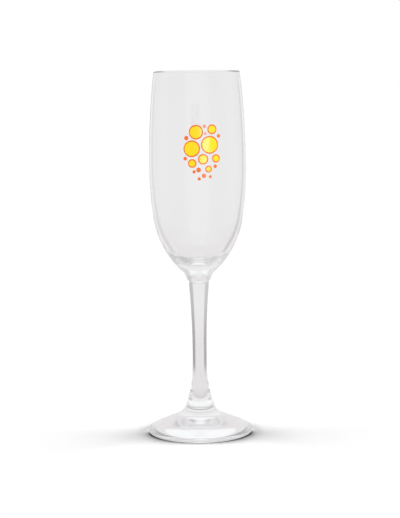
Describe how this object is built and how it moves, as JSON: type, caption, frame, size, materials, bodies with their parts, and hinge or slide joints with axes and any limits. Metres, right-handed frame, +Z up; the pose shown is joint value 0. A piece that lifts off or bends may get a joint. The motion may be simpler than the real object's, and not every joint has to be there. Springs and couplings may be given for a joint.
{
  "type": "champagne flute",
  "caption": "Clear footed drinking flute: tall tucked-in bowl on a thick solid base, slim tapering stem, trumpet foot with a hollow underside, and a small two-colour dot print on the bowl.",
  "frame": {"origin": "centre of the plane the foot rests on", "axes": "+Z up along the glass's axis to the rim; the print faces -Y; +X to the right of the print"},
  "size_m": [0.0596, 0.0596, 0.206],
  "materials": {
    "clear_glass_bowl": "fire-polished, clear",
    "clear_glass_stem": "fire-polished, clear",
    "clear_glass_foot": "fire-polished, clear",
    "enamel_yellow": "glossy fired enamel",
    "enamel_orange": "glossy fired enamel"
  },
  "bodies": {
    "root": {"bowl": "clear_glass_bowl", "stem": "clear_glass_stem", "foot": "clear_glass_foot", "print_yellow": "enamel_yellow", "print_orange": "enamel_orange"}
  },
  "joints": []
}
